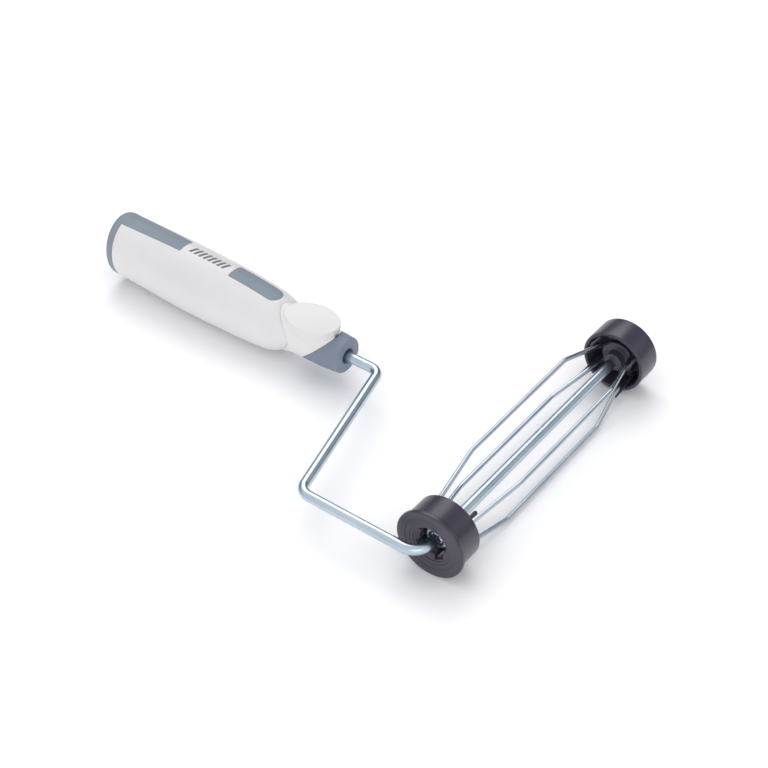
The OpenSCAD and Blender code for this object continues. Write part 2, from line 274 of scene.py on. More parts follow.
def span(nodes, links, value, low, high):
    """Maps a 0 to 1 value onto low to high."""
    m = nodes.new("ShaderNodeMapRange")
    m.inputs["To Min"].default_value = low
    m.inputs["To Max"].default_value = high
    links.new(value, m.inputs["Value"])
    return m


def bump(nodes, links, height, shader, strength, distance):
    b = nodes.new("ShaderNodeBump")
    b.inputs["Strength"].default_value = strength
    b.inputs["Distance"].default_value = distance
    links.new(height, b.inputs["Height"])
    links.new(b.outputs["Normal"], shader.inputs["Normal"])
    return b


def moulded(name, dark, light, rough, grain, grain_depth, specular=0.5, coat=0.0, coat_rough=0.1):
    """Moulded plastic or rubber: faint cloudy colour, uneven gloss and a fine mould texture."""
    mat, nodes, links, shader = new_material(name)
    coords = nodes.new("ShaderNodeTexCoord")
    place = coords.outputs["Object"]
    cloud = noise(nodes, links, place, 35, 4)
    tint = ramp(nodes, links, cloud.outputs["Fac"], 0.35, 0.65, dark, light)
    links.new(tint.outputs["Color"], shader.inputs["Base Color"])
    smear = noise(nodes, links, place, 120, 5, 0.6)
    gloss = span(nodes, links, smear.outputs["Fac"], rough - 0.05, rough + 0.06)
    links.new(gloss.outputs["Result"], shader.inputs["Roughness"])
    skin = noise(nodes, links, place, grain, 2)
    bump(nodes, links, skin.outputs["Fac"], shader, 0.35, grain_depth)
    shader.inputs["Specular IOR Level"].default_value = specular
    shader.inputs["Coat Weight"].default_value = coat
    shader.inputs["Coat Roughness"].default_value = coat_rough
    return mat


def plated(name, dark, light, rough, streak=0.25, use_uv=True):
    """Bright zinc plate: drawn along the bar, with soft cloudy patches."""
    mat, nodes, links, shader = new_material(name)
    coords = nodes.new("ShaderNodeTexCoord")
    stretch = nodes.new("ShaderNodeMapping")
    stretch.inputs["Scale"].default_value = (60, 2600, 1) if use_uv else (900, 900, 900)
    links.new(coords.outputs["UV" if use_uv else "Object"], stretch.inputs["Vector"])
    drawn = noise(nodes, links, stretch.outputs["Vector"], 1.0, 3)
    cloud = noise(nodes, links, coords.outputs["Object"], 60, 4)
    tint = ramp(nodes, links, cloud.outputs["Fac"], 0.3, 0.7, dark, light)
    links.new(tint.outputs["Color"], shader.inputs["Base Color"])
    both = nodes.new("ShaderNodeMix")
    both.inputs["Factor"].default_value = streak
    links.new(cloud.outputs["Fac"], both.inputs["A"])
    links.new(drawn.outputs["Fac"], both.inputs["B"])
    gloss = span(nodes, links, both.outputs["Result"], rough - 0.08, rough + 0.1)
    links.new(gloss.outputs["Result"], shader.inputs["Roughness"])
    bump(nodes, links, drawn.outputs["Fac"], shader, 0.12, 0.00002)
    shader.inputs["Metallic"].default_value = 1.0
    return mat


WHITE = moulded("white_plastic", (0.715, 0.715, 0.71), (0.745, 0.745, 0.74), 0.40, 2600, 0.00002)
THUMB = moulded("thumb_plastic", (0.765, 0.76, 0.745), (0.79, 0.785, 0.77), 0.42, 2600, 0.00002)
GRIP = moulded("grip_rubber", (0.215, 0.265, 0.310), (0.235, 0.285, 0.330), 0.55, 3200, 0.00004, 0.4)
NOSE = moulded("nose_rubber", (0.190, 0.230, 0.295), (0.205, 0.245, 0.310), 0.52, 3200, 0.00004, 0.4)
CORE = moulded("core_plastic", (0.50, 0.51, 0.52), (0.55, 0.56, 0.57), 0.5, 2000, 0.00003)
SOCKET = moulded("socket_plastic", (0.16, 0.17, 0.18), (0.19, 0.20, 0.21), 0.45, 2000, 0.00003)
BLACK = moulded("cap_plastic", (0.036, 0.033, 0.051), (0.044, 0.040, 0.061), 0.30, 900, 0.00001, 0.55)
NYLON = moulded("bush_nylon", (0.045, 0.045, 0.05), (0.06, 0.06, 0.065), 0.4, 1500, 0.00002)
INK = moulded("print_ink", (0.15, 0.15, 0.16), (0.18, 0.18, 0.19), 0.5, 3000, 0.00001)
ZINC = plated("zinc_rod", (0.46, 0.56, 0.63), (0.55, 0.64, 0.70), 0.29)
SPRING = plated("spring_wire", (0.42, 0.49, 0.54), (0.52, 0.58, 0.62), 0.2)
HARDWARE = plated("zinc_hardware", (0.50, 0.55, 0.62), (0.62, 0.66, 0.72), 0.2, use_uv=False)


def dress(obj, body, mat, slot, *replaced):
    """Gives a piece its material and body, and hides the CAD nodes that it stands for."""
    obj.data.materials.clear()
    obj.data.materials.append(mat)
    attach(obj, body)
    if replaced:
        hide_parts(*replaced)
    return obj


# ---------------------------------------------------------------- rod and wires

def build_rod():
    path = [(0, CAGE_LEN - 2.2, 0), (0, -CRANK_GAP, 0), (-CRANK_REACH, -CRANK_GAP, 0),
            (-SHANK_START, HANDLE_Y, 0), (-205, HANDLE_Y, 0)]
    rod = bar("rod_bar", path, [12, 9, 8], ROD_R, sides=56, chamfer=0.6)
    dress(rod, "frame", ZINC, "zinc_rod", "rod")


def build_wires():
    for i, degrees in enumerate(WIRE_ANGLES):
        c, s = math.cos(math.radians(degrees)), math.sin(math.radians(degrees))
        profile = [(13.6, 6.5), (BOW_R, 62.6), (BOW_R, 166.3), (10.85, CAGE_LEN - 8.6)]
        path = [(r * c, y, r * s) for r, y in profile]
        wire = bar(f"cage_wire_{i + 1}", path, [14, 14], WIRE_R, sides=24, chamfer=0.3)
        dress(wire, "cage", SPRING, "spring_wire", f"wire_{i + 1}")


# ---------------------------------------------------------------- end caps

def cap_profile(rim_r, rim_t, length):
    """Closed outline of a cap, (radius, depth from the outer face), small edges rounded."""
    lip, inner = 0.9, BARREL_R - CAP_WALL
    outline = [(HUB_BORE_R, RECESS_FLOOR)]
    outline += [(8.4, RECESS_FLOOR)] + arc((8.4, 10.4), 0.6, 90, 0, 4)
    outline += arc((9.4, 3.7), 0.4, 180, 256, 4)
    outline += [(12.1, 1.45)] + arc((12.15, 1.2), 0.25, 60, 0, 3)
    outline += arc((12.65, 1.05), 0.25, 180, 270, 3)
    outline += [(14.35, 0.8), (14.5, 0.72), (14.6, 0.48)] + arc((14.8, 0.6), 0.2, 180, 270, 3)
    outline += [(17.7, 0.4), (17.84, 0.34), (17.9, 0.15)] + arc((18.05, 0.15), 0.15, 180, 270, 3)
    outline += arc((rim_r - lip, lip), lip, -90, 0, 8)
    if rim_r > BARREL_R + 0.5:
        outline += arc((rim_r - 0.7, rim_t - 0.7), 0.7, 0, 90, 6)
        outline += arc((BARREL_R + 0.35, rim_t + 0.35), 0.35, 270, 180, 4)
    outline += arc((BARREL_R - 0.8, length - 0.8), 0.8, 0, 90, 6)
    outline += arc((inner + 0.8, length - 0.8), 0.8, 90, 180, 6)
    outline += arc((inner - 1.0, WEB_T + 1.0), 1.0, 0, -90, 5)
    outline += arc((HUB_R + 0.6, WEB_T + 0.6), 0.6, 270, 180, 4)
    outline += arc((HUB_R - 0.5, HUB_TOP - 0.5), 0.5, 0, 90, 4)
    outline += arc((TUBE_R + 0.6, HUB_TOP + 0.6), 0.6, 270, 180, 4)
    outline += arc((TUBE_R - 0.4, length - 0.4), 0.4, 0, 90, 4)
    outline += [(HUB_BORE_R, length)]
    return outline


def pillar(name, place, angle, foot, head, foot_r, head_r, dome):
    """Round post from foot = (radius, depth) to head, at an angle round the axle."""
    c, s = math.cos(math.radians(angle)), math.sin(math.radians(angle))
    a, b = np.array(foot, float), np.array(head, float)
    u = (b - a) / np.linalg.norm(b - a)
    v = np.array((u[1], -u[0]))
    length = float(np.linalg.norm(b - a))
    stations = [(0.0, foot_r)]
    stations += [(length * k / 6, foot_r + (head_r - foot_r) * k / 6) for k in range(1, 7)]
    stations += [(length + dome * math.sin(t), head_r * math.cos(t)) for t in (0.35, 0.7, 1.05, 1.35)]
    sides = 32
    rows = []
    for d, r in stations:
        ring = []
        for j in range(sides):
            t = 2 * math.pi * j / sides
            p = a + u * d + v * r * math.cos(t)
            q = r * math.sin(t)
            ring.append(place(p[0] * c - q * s, p[0] * s + q * c, p[1]))
        rows.append(ring)
    return make_object(name, *ring_grid(rows))


def block(name, place, angle, r0, r1, half, d0, d1, corner=0.5):
    """Box with rounded long edges, cut at an angle round the axle."""
    c, s = math.cos(math.radians(angle)), math.sin(math.radians(angle))
    outline = []
    for cx, cy, a in ((r1 - corner, half - corner, 0), (r0 + corner, half - corner, 90),
                      (r0 + corner, corner - half, 180), (r1 - corner, corner - half, 270)):
        outline += arc((cx, cy), corner, a, a + 90, 4)
    rows = [[place(x * c - y * s, x * s + y * c, d) for x, y in outline] for d in (d0, d1)]
    return make_object(name, *ring_grid(rows))


def build_cap(name, place, rim_r, rim_t, length, post_at, fingers, windows):
    """A cap with its wire posts and fingers; windows also makes the first finger the long one."""
    cap = lathe(name, cap_profile(rim_r, rim_t, length), place, sides=192)
    for angle in WIRE_ANGLES:
        if windows:
            window = block("window", place, angle, 8.0, WINDOW_OUTER_R, WINDOW_HALF, -1, 10.2)
            boolean(cap, window, "DIFFERENCE")
        post = pillar("post", place, angle, (post_at, 3.2), (post_at, 9.7), 2.7, 2.7, 0.3)
        boolean(cap, post, "UNION")
        foot, head, foot_r, head_r, dome = fingers
        if windows and angle == WIRE_ANGLES[0]:
            head = (head[0], head[1] + LONG_FINGER)
        boolean(cap, pillar("finger", place, angle, foot, head, foot_r, head_r, dome), "UNION")
    finish_mesh(cap, 32)
    return cap


def build_caps():
    near = build_cap("near_end_cap", near_place, FLANGE_R, FLANGE_T, NEAR_LEN, NEAR_POST_R,
                     ((11.9, 3.2), (11.9, 26.5), 1.3, 1.5, 1.45), windows=True)
    dress(near, "cage", BLACK, "cap_plastic", "near_cap")
    far = build_cap("far_end_cap", far_place, BARREL_R, 0, FAR_LEN, FAR_POST_R,
                    ((17.6, 3.2), (19.85, 30.5), 1.65, 0.62, 0.5), windows=False)
    dress(far, "cage", BLACK, "cap_plastic", "far_cap")


def build_push_nut(name, place, node):
    """Star-lock fastener: a dished disc with radial slits and raised teeth round the rod."""
    face = 7.85
    outline = [(3.55, face - 1.1), (4.3, face - 0.85), (5.0, face - 0.1), (5.6, face + 0.1)]
    outline += [(6.6, face - 0.05), (7.6, face - 0.1), (8.05, face + 0.15), (8.15, face + 0.5)]
    outline += [(7.95, face + 0.62), (7.4, face + 0.45), (5.6, face + 0.6), (5.0, face + 0.45)]
    outline += [(4.5, face - 0.3), (3.7, face - 0.6)]
    nut = lathe(name, outline, place, sides=96)
    for k in range(6):
        slit = block("slit", place, 60 * k, 3.0, 5.4, 0.35, face - 2, face + 2, 0.15)
        boolean(nut, slit, "DIFFERENCE")
    finish_mesh(nut, 40)
    dress(nut, "frame", HARDWARE, "zinc_hardware", node)


# ---------------------------------------------------------------- handle form

# Key sections: distance from the nose, half width, half height, centre height
FORM = np.array([
    (0, 12.5, 12.5, 0), (14, 13.3, 13.6, -0.3), (29, 13.4, 13.8, -0.4), (40, 13.8, 14, -0.1),
    (47, 15.4, 16, 0), (54, 17.8, 19.2, 0.1), (61, 19.3, 21, 0.3), (72, 20.2, 22.3, 0.8),
    (93, 21.1, 23.6, 1.5), (127, 21.5, 24.3, 2.1), (149, 21.1, 24.4, 2.9), (174, 20.1, 24.1, 3.7),
    (198, 19, 24.1, 4.2)], float)
NOSE_ROUND = 1.6
BUTT_ROUND = 3.0
THUMB_X = -170.3
THUMB_HALF_LEN = 20.8
THUMB_HALF_WIDTH = 14.3
THUMB_Z = 18.65
THUMB_TILT = 0.042
THUMB_DISH = 0.7
THUMB_SKIRT = 0.17
CREASE_HALF_LEN = 24.4
CREASE_HALF_WIDTH = 15.9
CREASE_DEPTH = 1.0
JOINT_X = -162.8
JOINT_SEAM = 0.3


def form_at(s):
    """Half width, half height and centre height of the handle at a distance from the nose."""
    i = int(np.clip(np.searchsorted(FORM[:, 0], s, side="right") - 1, 0, len(FORM) - 2))
    w = FORM[i + 1, 0] - FORM[i, 0]
    t = (s - FORM[i, 0]) / w

    def slope(k):
        a, b = max(k - 1, 0), min(k + 1, len(FORM) - 1)
        return (FORM[b, 1:] - FORM[a, 1:]) / (FORM[b, 0] - FORM[a, 0])

    return (FORM[i, 1:] * (2 * t ** 3 - 3 * t ** 2 + 1) + FORM[i + 1, 1:] * (3 * t ** 2 - 2 * t ** 3)
            + slope(i) * w * (t ** 3 - 2 * t ** 2 + t) + slope(i + 1) * w * (t ** 3 - t ** 2))


def end_inset(distance, r):
    return 0.0 if distance >= r else r - math.sqrt(max(0.0, r * r - (r - distance) ** 2))


def soft_max(a, b, width):
    """The larger of two values, with a fillet of about the given width where they meet."""
    h = max(width - abs(a - b), 0.0) / width
    return max(a, b) + h * h * width / 4


def soft_min(a, b, width):
    return -soft_max(-a, -b, width)


def form_radius(s, angle):
    """Distance from the section's centre to the plain lofted form, at an angle from +Y towards +Z."""
    ry, rz, _ = form_at(s)
    pull = end_inset(s, NOSE_ROUND) + end_inset(HANDLE_LEN - s, BUTT_ROUND)
    return 1 / math.hypot(math.cos(angle) / (ry - pull), math.sin(angle) / (rz - pull))


@functools.lru_cache(maxsize=None)
def crease_s(angle):
    """Where the oval crease round the thumb rest meets the surface."""
    s = NOSE_X - THUMB_X + CREASE_HALF_LEN
    for _ in range(40):
        y = form_radius(s, angle) * math.cos(angle)
        reach = math.sqrt(max(0.0, 1 - (y / CREASE_HALF_WIDTH) ** 2))
        s = 0.6 * s + 0.4 * (NOSE_X - THUMB_X + CREASE_HALF_LEN * reach)
    return s


def crease_dip(s, angle):
    """How far the surface falls towards the crease, from the body's side and from the neck's."""
    t = s - crease_s(angle)
    reach = 3.4 + 6 * math.cos(angle) ** 2 if t > 0 else 5.0
    return CREASE_DEPTH * max(0.0, 1 - abs(t) / reach) ** 2


def pad_radius(s, angle):
    """Distance from the section's centre to the thumb rest's plate, or 0 beside it."""
    along = (NOSE_X - s - THUMB_X) / THUMB_HALF_LEN
    c, z = abs(math.cos(angle)), math.sin(angle)
    if z <= 0.05 or abs(along) >= 1:
        return 0.0
    half = THUMB_HALF_WIDTH * math.sqrt(1 - along * along)
    top = THUMB_Z + THUMB_TILT * along * THUMB_HALF_LEN - form_at(s)[2]
    lean = c - THUMB_SKIRT * z
    foot = half - THUMB_SKIRT * top
    if lean > 0:
        side = max(0.0, foot / lean)
    else:
        side = 1e3 if c * top / z <= half else 0.0
    across = min(1.0, c * top / z / THUMB_HALF_WIDTH)
    top -= THUMB_DISH * (1 - along * along) * (1 - across * across)
    return soft_min(top / z, side, 2.4)


def handle_radius(s, angle, with_pad=True):
    """Distance from the section's centre to the finished surface."""
    base = form_radius(s, angle) - crease_dip(s, angle)
    return soft_max(base, pad_radius(s, angle), 1.4) if with_pad else base


def handle_point(s, angle, radius):
    """A point of the handle: distance from the nose, angle, distance from the section's centre."""
    zc = form_at(s)[2]
    return (NOSE_X - s, HANDLE_Y + radius * math.cos(angle), zc + radius * math.sin(angle))


def joint_s(angle, radius=None, with_pad=True):
    """Where the nose collar's slanted joint meets the surface, or a cylinder round the rod."""
    def ahead(s):
        if radius is not None:
            z = radius * math.sin(angle)
        else:
            z = form_at(s)[2] + handle_radius(s, angle, with_pad) * math.sin(angle)
        return NOSE_X - s - JOINT_X - z

    s = 46.0
    while ahead(s) < 0 and s > 3:
        s -= 0.25
    low, high = s, s + 0.25
    for _ in range(24):
        middle = (low + high) / 2
        if ahead(middle) < 0:
            high = middle
        else:
            low = middle
    return high


def rolled(s0, s1, count, roll):
    """Stations from s0 to s1 with how far each is pulled in, so that both ends roll over."""
    steps = [roll * (1 - math.cos(math.radians(a))) for a in (0, 25, 50, 70)]
    middle = [s0 + roll + (s1 - s0 - 2 * roll) * k / count for k in range(count + 1)]
    head = [s0 + d for d in steps]
    tail = [s1 - d for d in reversed(steps)]
    return [(s, max(end_inset(s - s0, roll), end_inset(s1 - s, roll))) for s in head + middle + tail]


def handle_sleeve(name, start, end, inner_start, inner_end, count, columns, roll=0.3):
    """Closed sleeve of the handle's surface between two boundaries, functions of the angle."""
    columns_of_points = []
    for j in range(columns):
        angle = 2 * math.pi * j / columns
        s0, s1 = start(angle), end(angle)
        line = []
        for s, pull in rolled(s0, s1, count, roll):
            line.append(handle_point(s, angle, handle_radius(s, angle) - pull))
        line += [inner_end(angle, s1), inner_start(angle, s0)]
        columns_of_points.append(line)
    rows = [list(row) for row in zip(*columns_of_points)]
    return make_object(name, *ring_grid(rows, closed_rows=True), smooth_angle=50)


def core_point(s, angle, radius):
    """A point at a radius from the handle's straight axis."""
    return (NOSE_X - s, HANDLE_Y + radius * math.cos(angle), radius * math.sin(angle))


def build_nose_collar():
    columns = 192
    lines = []
    for j in range(columns):
        angle = 2 * math.pi * j / columns
        end = joint_s(angle, with_pad=False) - JOINT_SEAM / 2
        line = [core_point(9.5, angle, 5.4), core_point(0.5, angle, 5.4), core_point(0.15, angle, 5.55),
                core_point(0, angle, 5.9)]
        rim = handle_radius(NOSE_ROUND, angle) - NOSE_ROUND
        line += [core_point(0, angle, 5.9 + (rim - 5.9) * k / 4) for k in range(1, 5)]
        for a in range(10, 91, 10):
            s = NOSE_ROUND * (1 - math.cos(math.radians(a)))
            line.append(handle_point(s, angle, rim + NOSE_ROUND * math.sin(math.radians(a))))
        for s, pull in rolled(NOSE_ROUND + 0.1, end, 40, 0.35):
            pull = 0.0 if s < NOSE_ROUND + 1 else pull
            line.append(handle_point(s, angle, handle_radius(s, angle, False) - pull))
        line.append(core_point(joint_s(angle, CORE_R) - JOINT_SEAM / 2, angle, CORE_R))
        line.append(core_point(9.5, angle, CORE_R))
        lines.append(line)
    rows = [list(row) for row in zip(*lines)]
    collar = make_object("nose_grip", *ring_grid(rows, closed_rows=True), smooth_angle=50)
    dress(collar, "frame", NOSE, "nose_rubber", "nose_collar")


def build_thumb_rest():
    piece = handle_sleeve(
        "thumb_rest_neck",
        lambda a: joint_s(a) + JOINT_SEAM / 2,
        lambda a: crease_s(a) - SEAM / 2,
        lambda a, s: core_point(joint_s(a, CORE_R) + JOINT_SEAM / 2, a, CORE_R),
        lambda a, s: core_point(s, a, CORE_R),
        count=190, columns=360)
    dress(piece, "frame", THUMB, "thumb_plastic", "thumb_rest")


STRIPE_HALF = 6.8
STRIPE_Y = 1.7
STRIPE_FLARE = 1.8
FRONT_REAR_X = -238.0
FRONT_TIP_X = -198.0
REAR_FRONT_X = -280.0
REAR_BACK_X = -335.0
STRIPE_DEPTH = 1.5
POCKET_GROW = 0.07


def top_z(x, y):
    """Height of the handle's upper surface."""
    s = NOSE_X - x
    ry, rz, zc = form_at(s)
    pull = end_inset(HANDLE_LEN - s, BUTT_ROUND)
    return zc + (rz - pull) * math.sqrt(max(0.0, 1 - (y / (ry - pull)) ** 2))


def stripe_half_at(x):
    """Half width of the stripe: even along the front, wider towards the butt."""
    rear_len = REAR_FRONT_X - NOSE_X + HANDLE_LEN
    return STRIPE_HALF + STRIPE_FLARE * max(0.0, REAR_FRONT_X - x) / rear_len


def stripe(name, x0, x1, tip, grow, depth, sink_from=None):
    """Inlay on top of the handle from x0 to x1; its x1 end is a half round if tip is set.

    grow widens the outline and raises the top, which makes the pocket that the inlay lies in. The
    surface sinks slightly behind sink_from, where another part covers it.
    """
    half = STRIPE_HALF + grow
    roll = 0.3 if grow == 0 else 0.0
    corner = 1.2

    def outline():
        h = half
        a, b = x0 - grow, x1 + grow
        if tip:
            front = arc((b - h, 0), h, -90, 90, 28)
        else:
            front = arc((b - corner, corner - h), corner, -90, 0, 7)
            front += arc((b - corner, h - corner), corner, 0, 90, 7)
        back = arc((a + corner, h - corner), corner, 90, 180, 7)
        back += arc((a + corner, corner - h), corner, 180, 270, 7)
        loop = front + back
        dense = []
        for p, q in zip(loop, loop[1:] + loop[:1]):
            n = max(1, int(math.dist(p, q) / 1.0))
            dense += [(p[0] + (q[0] - p[0]) * k / n, p[1] + (q[1] - p[1]) * k / n) for k in range(n)]
        return dense

    base = outline()
    count = len(base)

    def shrunk(inset):
        """The outline pulled in towards the inlay's middle line."""
        a, b = x0 - grow + half, x1 + grow - half
        points = []
        for x, y in base:
            mx = min(max(x, a), b)
            d = math.hypot(x - mx, y)
            f = max(0.0, 1 - inset / d) if d > 1e-9 else 0.0
            points.append((mx + (x - mx) * f, y * f))
        return points

    def lift(points, drop):
        row = []
        for x, across in points:
            y = STRIPE_Y + across * stripe_half_at(x) / STRIPE_HALF
            low = drop + (0.03 if sink_from is not None and x < sink_from else 0.0)
            row.append((x, HANDLE_Y + y, top_z(x, y) - low))
        return row

    if grow:
        insets = (half - 0.4, 5.6, 4.2, 2.8, 1.4)
        rows = [lift(shrunk(inset), depth) for inset in insets]
        rows += [lift(base, depth), lift(base, -2.0)]
        rows += [lift(shrunk(inset), -2.0) for inset in reversed(insets)]
    else:
        insets = (0.8, 1.6, 2.6, 3.6, 4.6, 5.6, 6.3)
        rows = [lift(shrunk(inset), depth) for inset in reversed(insets)]
        rows += [lift(base, depth), lift(base, roll)]
        for a in (20, 45, 70, 90):
            t = math.radians(a)
            rows.append(lift(shrunk(roll * (1 - math.cos(t))), roll * (1 - math.sin(t))))
        rows += [lift(shrunk(inset), 0.0) for inset in insets]
    verts = [p for row in rows for p in row]
    faces = []
    for low in range(0, (len(rows) - 1) * count, count):
        for j in range(count):
            k = (j + 1) % count
            faces.append((low + j, low + k, low + count + k, low + count + j))
    faces += zipped(base, 0) + zipped(base, (len(rows) - 1) * count)
    return make_object(name, verts, faces, smooth_angle=50)


def zipped(loop, first):
    """Faces that close a ring of points, joining each to its mirror image across the line y = 0."""
    n = len(loop)
    other = min(range(n), key=lambda k: math.dist(loop[k], (loop[0][0], -loop[0][1])))
    start = (other + 1) // 2
    upper = [(start + k) % n for k in range(n // 2 + 1)]
    lower = [(other - start - k) % n for k in range(n // 2 + 1)]
    faces = []
    for k in range(n // 2):
        if k and (upper[k] == lower[k] or (upper[k] + 1) % n == lower[k]):
            break
        face = []
        for v in (upper[k], upper[k + 1], lower[k + 1], lower[k]):
            if first + v not in face:
                face.append(first + v)
        if len(face) > 2:
            faces.append(tuple(face))
    return faces


def build_shell():
    shell = handle_sleeve(
        "handle_body",
        lambda a: crease_s(a) + SEAM / 2,
        lambda a: RING_S - SEAM / 2,
        lambda a, s: core_point(s, a, CORE_R),
        lambda a, s: core_point(s, a, CORE_REAR_R),
        count=150, columns=256)
    pockets = (("front_pocket", FRONT_REAR_X, FRONT_TIP_X, True),
               ("rear_pocket", REAR_BACK_X - 1.0, REAR_FRONT_X, False))
    for name, x0, x1, tip in pockets:
        pocket = stripe(name, x0, x1, tip, POCKET_GROW, STRIPE_DEPTH + 0.05)
        boolean(shell, pocket, "DIFFERENCE", "EXACT")
    finish_mesh(shell, 45)
    dress(shell, "frame", WHITE, "white_plastic", "handle_shell")


def build_grips():
    front = stripe("front_stripe", FRONT_REAR_X, FRONT_TIP_X, True, 0.0, STRIPE_DEPTH)
    dress(front, "frame", GRIP, "grip_rubber", "grip_front")

    def under_stripe(angle, s):
        y = handle_radius(s, angle, False) * math.cos(angle)
        half = stripe_half_at(NOSE_X - RING_S)
        return s < HANDLE_LEN - 4 and math.sin(angle) > 0 and abs(y - STRIPE_Y) < half - 0.2

    def butt_line(angle):
        line = []
        for s, pull in rolled(RING_S + SEAM / 2, HANDLE_LEN - BUTT_ROUND, 6, 0.35):
            if s > HANDLE_LEN - BUTT_ROUND - 1 or under_stripe(angle, s):
                pull = 0.0
            line.append(handle_point(s, angle, handle_radius(s, angle, False) - pull))
        for a in range(10, 91, 8):
            t = math.radians(a)
            s = HANDLE_LEN - BUTT_ROUND + BUTT_ROUND * math.sin(t)
            line.append(handle_point(s, angle, handle_radius(min(s, HANDLE_LEN - 1e-6), angle, False)))
        line.append(core_point(HANDLE_LEN, angle, CORE_REAR_R + 0.4))
        line.append(core_point(HANDLE_LEN - 0.4, angle, CORE_REAR_R))
        line.append(core_point(RING_S + SEAM / 2, angle, CORE_REAR_R))
        return line

    lines = [butt_line(2 * math.pi * j / 256) for j in range(256)]
    rows = [list(row) for row in zip(*lines)]
    rear = make_object("butt_grip", *ring_grid(rows, closed_rows=True), smooth_angle=50)
    inlay = stripe("rear_stripe", REAR_BACK_X, REAR_FRONT_X, False, 0.0, STRIPE_DEPTH,
                   sink_from=NOSE_X - RING_S - SEAM)
    boolean(rear, inlay, "UNION", "EXACT")
    finish_mesh(rear, 50)
    dress(rear, "frame", GRIP, "grip_rubber", "grip_rear")


def build_pole_socket():
    """Socket with its thread: three-quarter inch, five threads to the inch."""
    pitch, crest, root, depth = 5.08, 7.3, 9.6, 32.0
    sides, rows_n = 96, 260
    rows = []
    for k in range(rows_n + 1):
        d = depth * k / rows_n
        ring = []
        for j in range(sides):
            t = 2 * math.pi * j / sides
            phase = (d / pitch - j / sides) % 1.0
            ridge = min(1.0, max(0.0, (0.36 - abs(phase - 0.5)) / 0.13))
            ridge *= min(1.0, max(0.0, (d - 1.5) / 2.0))
            r = root - (root - crest) * ridge
            ring.append(core_point(HANDLE_LEN - d, t, r))
        rows.append(ring)
    outer = [(HANDLE_LEN - 35, 12.0), (HANDLE_LEN - 3, 12.0), (HANDLE_LEN - 3, 13.0),
             (HANDLE_LEN - 0.3, 13.0), (HANDLE_LEN, 12.7), (HANDLE_LEN, 10.3), (HANDLE_LEN - 0.2, 9.85)]
    rows.append([core_point(HANDLE_LEN - depth, 2 * math.pi * j / sides, 0.3) for j in range(sides)])
    rows.append([core_point(HANDLE_LEN - 35, 2 * math.pi * j / sides, 0.3) for j in range(sides)])
    for s, r in outer:
        rows.append([core_point(s, 2 * math.pi * j / sides, r) for j in range(sides)])
    socket = make_object("threaded_socket", *ring_grid(rows, closed_rows=True), smooth_angle=40)
    dress(socket, "frame", SOCKET, "socket_plastic", "pole_socket")


def build_print():
    """Plain slanted bars printed where the handle carries its maker's print; not lettering."""
    verts, faces = [], []
    height, lean, width, gap, count = 6.2, 2.6, 2.3, 1.7, 8
    first, middle = -275.0, 1.0
    above, below = 0.045, -0.05
    for k in range(count):
        x0 = first + k * (width + gap)
        n, m = 10, 4
        start = len(verts)
        for lift in (above, below):
            for i in range(n + 1):
                v = i / n
                y = middle - height / 2 + height * v
                for j in range(m + 1):
                    x = x0 + width * j / m + lean * v
                    verts.append((x, HANDLE_Y + y, top_z(x, y) + lift))
        size = (n + 1) * (m + 1)
        for i in range(n):
            for j in range(m):
                a = start + i * (m + 1) + j
                faces.append((a, a + 1, a + m + 2, a + m + 1))
                faces.append((a + size + m + 1, a + size + m + 2, a + size + 1, a + size))
        rim = ([start + j for j in range(m + 1)] + [start + i * (m + 1) + m for i in range(1, n + 1)]
               + [start + n * (m + 1) + j for j in range(m - 1, -1, -1)]
               + [start + i * (m + 1) for i in range(n - 1, 0, -1)])
        for p, q in zip(rim, rim[1:] + rim[:1]):
            faces.append((p, p + size, q + size, q))
    marks = make_object("printed_bars", verts, faces)
    dress(marks, "frame", INK, "grip_rubber")


build_rod()
build_wires()
build_caps()
build_push_nut("near_star_nut", near_place, "near_push_nut")
build_push_nut("far_star_nut", far_place, "far_push_nut")
build_nose_collar()
build_thumb_rest()
build_shell()
build_grips()
build_pole_socket()
build_print()

for node, mat in (("handle_core", CORE), ("near_bush", NYLON), ("far_bush", NYLON),
                  ("near_washer", HARDWARE), ("far_washer", HARDWARE)):
    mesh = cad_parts[node].data
    mesh.materials.clear()
    mesh.materials.append(mat)


# ---------------------------------------------------------------- floor, light and camera

FLOOR_HALF = 12.0
# Painted floor light: the paper's emission glow, and how far beneath the object its painted contact shadow
# reaches
FLOOR_GLOW = 0.17
PAINTED_SHADOW_REACH = 0.045


def build_floor():
    mesh = bpy.data.meshes.new("floor")
    signs = ((-1, -1), (1, -1), (1, 1), (-1, 1))
    mesh.from_pydata([(x * FLOOR_HALF, y * FLOOR_HALF, 0) for x, y in signs], [], [(0, 1, 2, 3)])
    floor = bpy.data.objects.new("floor", mesh)
    bpy.context.scene.collection.objects.link(floor)
    mat, nodes, links, shader = new_material("floor_paper")
    coords = nodes.new("ShaderNodeTexCoord")
    soft = noise(nodes, links, coords.outputs["Object"], 3, 2)
    tint = ramp(nodes, links, soft.outputs["Fac"], 0.3, 0.7, (0.93, 0.93, 0.94), (0.95, 0.95, 0.95))
    links.new(tint.outputs["Color"], shader.inputs["Base Color"])
    shader.inputs["Roughness"].default_value = 0.9
    shader.inputs["Specular IOR Level"].default_value = 0.1
    # Painted contact shadow: the paper glows, which lifts it to white, except close beneath the object,
    # where the glow fades and paints a shadow
    near = nodes.new("ShaderNodeAmbientOcclusion")
    near.inputs["Distance"].default_value = PAINTED_SHADOW_REACH
    glow = ramp(nodes, links, near.outputs["AO"], 0.55, 0.97, (0, 0, 0.02), (1, 1, 1))
    links.new(glow.outputs["Color"], shader.inputs["Emission Color"])
    shader.inputs["Emission Strength"].default_value = FLOOR_GLOW
    mesh.materials.append(mat)


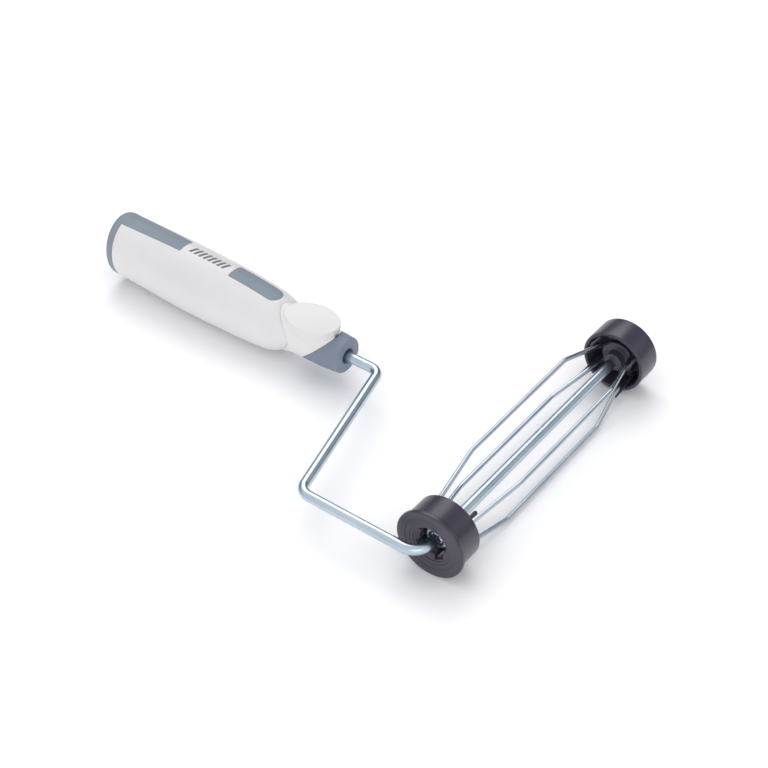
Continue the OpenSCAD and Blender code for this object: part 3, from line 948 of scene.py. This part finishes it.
def area_light(name, place, target, size, power, tint):
    data = bpy.data.lights.new(name, "AREA")
    data.shape = "RECTANGLE"
    data.size, data.size_y = size
    data.energy = power
    data.color = tint
    lamp = bpy.data.objects.new(name, data)
    bpy.context.scene.collection.objects.link(lamp)
    lamp.location = place
    lamp.rotation_euler = (Vector(target) - Vector(place)).to_track_quat("-Z", "Y").to_euler()


# The tent leans: it comes down to the floor in front, and leaves a dark skirt behind
TENT_AXIS = (0.27, -0.36, 0.89)
SKIRT_LIGHT = (0.09, 0.10, 0.13)
TENT_LIGHT = (0.97, 0.97, 1.0)
TENT_STRENGTH = 0.95
# Between the panels: behind the object, half way up
GAP_TOWARDS = (0.17, 0.66, 0.73)
GAP_LIGHT = (0.34, 0.35, 0.40)


def build_world():
    """White studio tent, with a darker skirt at its foot and a dim gap between two panels."""
    world = bpy.data.worlds.new("studio")
    bpy.context.scene.world = world
    world.use_nodes = True
    nodes, links = world.node_tree.nodes, world.node_tree.links
    back = nodes["Background"]
    coords = nodes.new("ShaderNodeTexCoord")
    height = nodes.new("ShaderNodeVectorMath")
    height.operation = "DOT_PRODUCT"
    height.inputs[1].default_value = TENT_AXIS
    links.new(coords.outputs["Generated"], height.inputs[0])
    tent = ramp(nodes, links, height.outputs["Value"], 0.04, 0.34, SKIRT_LIGHT, TENT_LIGHT)
    tent.color_ramp.interpolation = "EASE"
    gap = nodes.new("ShaderNodeVectorMath")
    gap.operation = "DOT_PRODUCT"
    gap.inputs[1].default_value = GAP_TOWARDS
    links.new(coords.outputs["Generated"], gap.inputs[0])
    dim = ramp(nodes, links, gap.outputs["Value"], 0.90, 0.985, (1, 1, 1), GAP_LIGHT)
    dim.color_ramp.interpolation = "EASE"
    mix = nodes.new("ShaderNodeMix")
    mix.data_type = "RGBA"
    mix.blend_type = "MULTIPLY"
    mix.inputs["Factor"].default_value = 1.0
    links.new(tent.outputs["Color"], mix.inputs["A"])
    links.new(dim.outputs["Color"], mix.inputs["B"])
    links.new(mix.outputs["Result"], back.inputs["Color"])
    back.inputs["Strength"].default_value = TENT_STRENGTH


# The key is above and behind the object, the fill on the camera's side
KEY_PLACE, KEY_WATTS = (-0.65, 0.85, 1.25), 9
FILL_PLACE, FILL_WATTS = (1.2, -1.1, 0.75), 3.4


def build_light():
    build_world()
    area_light("key", KEY_PLACE, (0, 0, 0), (1.3, 1.1), KEY_WATTS, (1, 0.985, 0.96))
    area_light("fill", FILL_PLACE, (0, 0, 0), (1.2, 0.9), FILL_WATTS, (1, 0.99, 0.98))


CAMERA_AZIMUTH, CAMERA_ELEVATION = 36.70, 41.42
CAMERA_DISTANCE = 1.1863
CAMERA_TARGET = (-105.56, 97.69, 0.93)
SENSOR = 36.0
LENS = 86.8640625


def build_camera():
    azimuth, elevation = math.radians(CAMERA_AZIMUTH), math.radians(CAMERA_ELEVATION)
    target = AXLE + Vector(CAMERA_TARGET) * MM
    away = Vector((math.cos(elevation) * math.sin(azimuth), -math.cos(elevation) * math.cos(azimuth),
                   math.sin(elevation)))
    data = bpy.data.cameras.new("camera")
    data.sensor_width = SENSOR
    data.lens = LENS
    data.clip_end = 20
    camera = bpy.data.objects.new("camera", data)
    bpy.context.scene.collection.objects.link(camera)
    camera.location = target + away * CAMERA_DISTANCE
    camera.rotation_euler = (-away).to_track_quat("-Z", "Y").to_euler()
    bpy.context.scene.camera = camera


build_floor()
build_light()
build_camera()
bpy.context.scene.view_settings.view_transform = "Standard"

bpy.context.view_layer.update()
